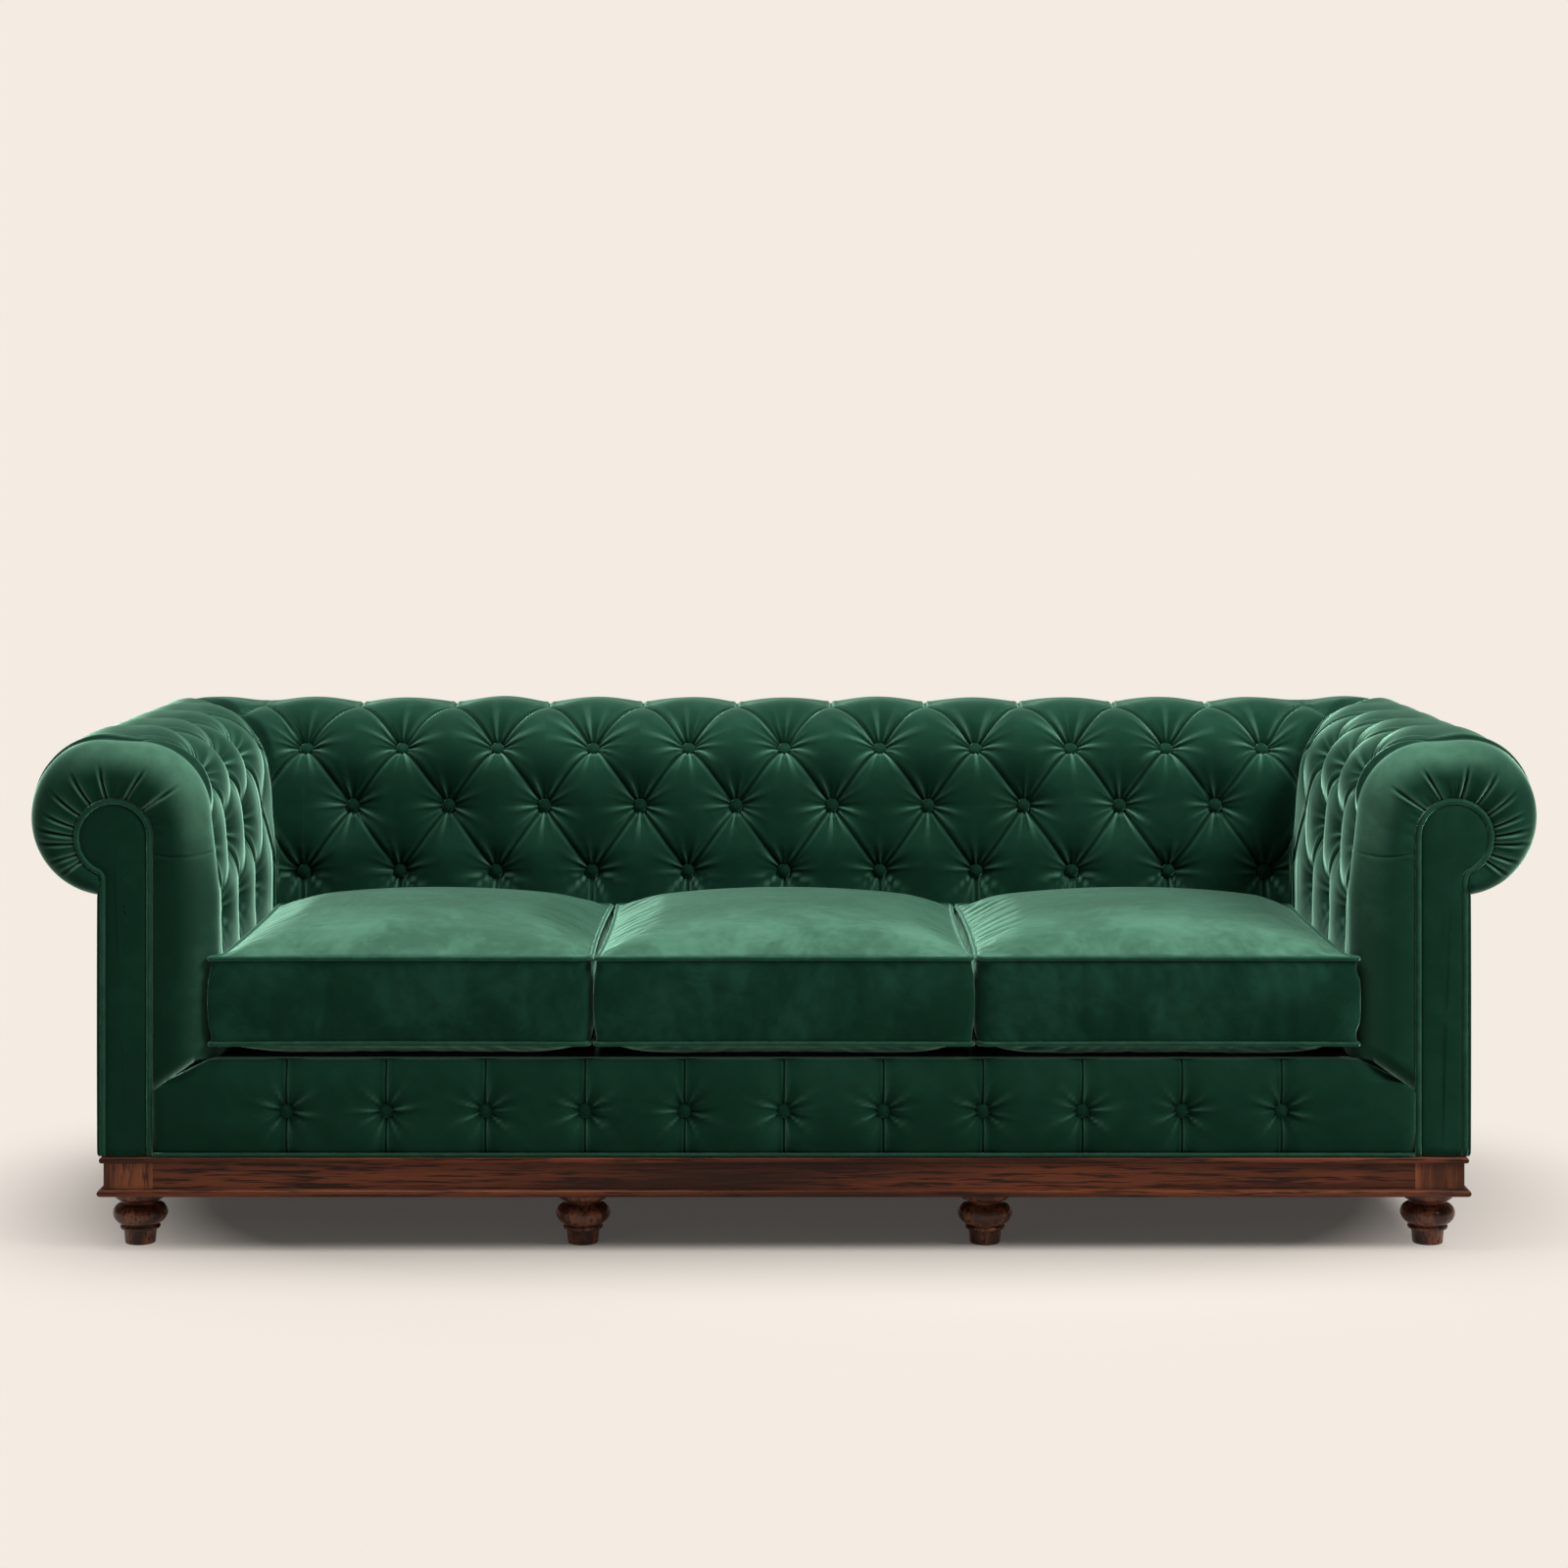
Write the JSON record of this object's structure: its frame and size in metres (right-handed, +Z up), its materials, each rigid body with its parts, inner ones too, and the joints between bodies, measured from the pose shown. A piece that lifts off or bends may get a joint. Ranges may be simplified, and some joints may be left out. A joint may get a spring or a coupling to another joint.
{
  "type": "chesterfield sofa",
  "caption": "Long deep-buttoned sofa with rolled arms and back at one height, loose seat cushions with piped edges, a buttoned front border, a moulded wood plinth and turned feet.",
  "frame": {"origin": "on the floor, under the middle of the whole sofa", "axes": "+X towards the right arm as seen from in front, +Y towards the back of the sofa, +Z up"},
  "size_m": [2.3, 0.91, 0.79],
  "materials": {
    "velvet": "emerald green velvet with a mottled nap",
    "velvet_cushions": "emerald green velvet with a brushed, mottled nap",
    "velvet_buttons": "emerald green velvet over domed buttons",
    "velvet_piping": "emerald green velvet over cord",
    "mahogany": "dark red-brown stain, semi-gloss",
    "beech": "plain sawn hardwood",
    "hardboard": "plain bent board",
    "zinc_steel": "zinc plated",
    "webbing": "woven elastic webbing",
    "platform_felt": "padded platform under the cushions, in plain green cloth",
    "black_lining": "thin non-woven lining",
    "foam": "upholstery foam"
  },
  "bodies": {
    "sofa": {"arm_buttons_left": "velvet_buttons", "arm_buttons_right": "velvet_buttons", "arm_facing_left": "velvet", "arm_facing_piping_left": "velvet_piping", "arm_facing_piping_right": "velvet_piping", "arm_facing_right": "velvet", "arm_front_board_left": "beech", "arm_front_board_right": "beech", "arm_liner_left": "hardboard", "arm_liner_right": "hardboard", "arm_pad_left": "velvet", "arm_pad_right": "velvet", "arm_top_rail_left": "beech", "arm_top_rail_right": "beech", "back_buttons": "velvet_buttons", "back_liner": "hardboard", "back_pad": "velvet", "back_scroll_boards": "beech", "back_top_rail": "beech", "border_buttons": "velvet_buttons", "corner_post_left": "beech", "corner_post_right": "beech", "dust_cover": "black_lining", "feet": "mahogany", "foot_bolts": "zinc_steel", "foot_nuts": "zinc_steel", "front_border": "velvet", "outside_arm_left": "velvet", "outside_arm_right": "velvet", "outside_back": "velvet", "plinth_corner_blocks": "mahogany", "plinth_foot_blocks": "beech", "plinth_mouldings_front": "mahogany", "plinth_mouldings_left": "mahogany", "plinth_mouldings_rear": "mahogany", "plinth_mouldings_right": "mahogany", "plinth_rail_front": "mahogany", "plinth_rail_left": "mahogany", "plinth_rail_rear": "mahogany", "plinth_rail_right": "mahogany", "seat_bearers": "beech", "seat_platform": "platform_felt", "seat_rail_front": "beech", "seat_rail_left": "beech", "seat_rail_rear": "beech", "seat_rail_right": "beech", "seat_webbing_front_to_back": "webbing", "seat_webbing_side_to_side": "webbing"},
    "cushion_left": {"cushion_left_cover": "velvet_cushions", "cushion_left_filling": "foam", "cushion_left_piping": "velvet_piping", "cushion_left_placket": "velvet_cushions"},
    "cushion_middle": {"cushion_middle_cover": "velvet_cushions", "cushion_middle_filling": "foam", "cushion_middle_piping": "velvet_piping", "cushion_middle_placket": "velvet_cushions"},
    "cushion_right": {"cushion_right_cover": "velvet_cushions", "cushion_right_filling": "foam", "cushion_right_piping": "velvet_piping", "cushion_right_placket": "velvet_cushions"}
  },
  "joints": [
    {"name": "cushion_left_lift", "type": "slide", "parent": "sofa", "child": "cushion_left", "axis": [0, 0, 1], "range_m": [0, 0.5]},
    {"name": "cushion_middle_lift", "type": "slide", "parent": "sofa", "child": "cushion_middle", "axis": [0, 0, 1], "range_m": [0, 0.5]},
    {"name": "cushion_right_lift", "type": "slide", "parent": "sofa", "child": "cushion_right", "axis": [0, 0, 1], "range_m": [0, 0.5]}
  ]
}
